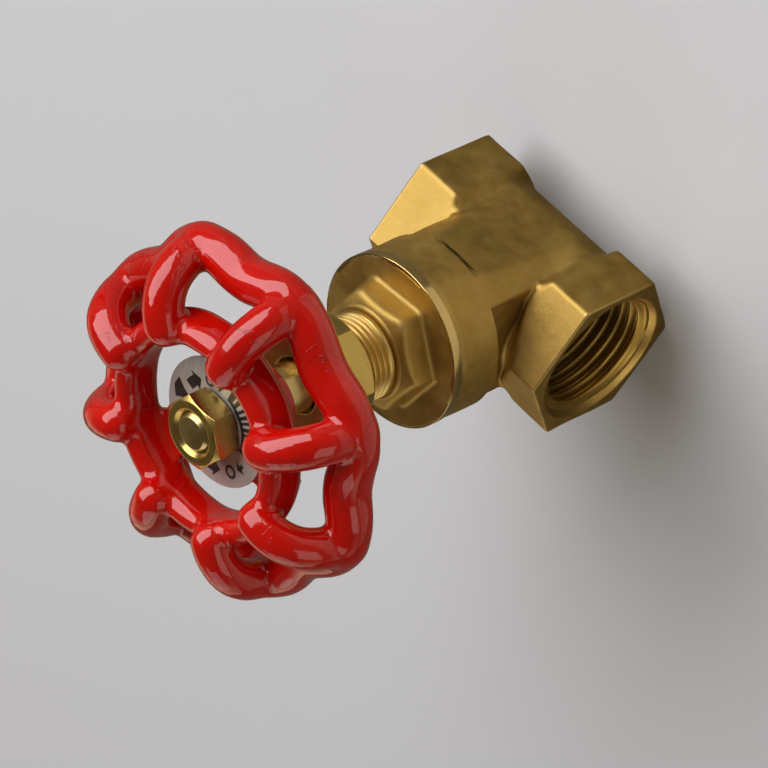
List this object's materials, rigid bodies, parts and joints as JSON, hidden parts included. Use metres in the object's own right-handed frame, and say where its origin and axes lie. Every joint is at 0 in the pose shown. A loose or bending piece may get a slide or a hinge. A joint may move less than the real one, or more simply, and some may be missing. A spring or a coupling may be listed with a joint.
{
  "type": "gate valve",
  "caption": "Brass gate valve with two hexagonal female threaded ports, screwed bonnet, packing nut, non-rising stem, wedge gate and a cast caged handwheel.",
  "frame": {"origin": "on the stem axis, level with the lowest corner of the port hexagons; the flow axis is 14.43 mm above it", "axes": "+Z along the stem towards the handwheel, X along the flow with +X out of the outlet port, Y across the flow"},
  "size_m": [0.0572, 0.0572, 0.084],
  "materials": {
    "forged_brass": "satin as-forged, shot-blasted grain with handling marks",
    "turned_brass": "bright turned and milled",
    "red_enamel": "thick high-gloss enamel over a casting",
    "plate": "thin satin disc with printed marks",
    "packing": "white PTFE",
    "gasket": "brown rubber-bound fibre sheet"
  },
  "bodies": {
    "valve_body": {"body": "forged_brass", "bonnet_gasket": "gasket", "bonnet": "forged_brass", "stem_thrust_washer": "turned_brass", "packing_ring_lower": "packing", "packing_ring_middle": "packing", "packing_ring_upper": "packing"},
    "spindle": {"stem": "turned_brass", "handwheel": "red_enamel", "id_plate": "plate", "wheel_nut": "turned_brass"},
    "gate": {"wedge_gate": "forged_brass"},
    "gland_nut": {"packing_nut": "turned_brass"},
    "gland": {"gland_follower": "turned_brass"}
  },
  "joints": [
    {"name": "spindle_turn", "type": "hinge", "parent": "valve_body", "child": "spindle", "pos_m": [0, 0, 0.01443], "axis": [0, 0, 1], "range_deg": [0, 2592]},
    {"name": "gate_lift", "type": "slide", "parent": "valve_body", "child": "gate", "axis": [0, 0, 1], "range_m": [0, 0.0145]},
    {"name": "packing_nut_turn", "type": "hinge", "parent": "valve_body", "child": "gland_nut", "pos_m": [0, 0, 0.01443], "axis": [0, 0, 1], "range_deg": [-90, 0]},
    {"name": "gland_press", "type": "slide", "parent": "valve_body", "child": "gland", "axis": [0, 0, 1], "range_m": [-0.00027, 0]}
  ],
  "couplings": [
    {"joint": "gate_lift", "follows": "spindle_turn", "m_per_rad": 0.00031831},
    {"joint": "gland_press", "follows": "packing_nut_turn", "m_per_rad": 0.00015915}
  ]
}
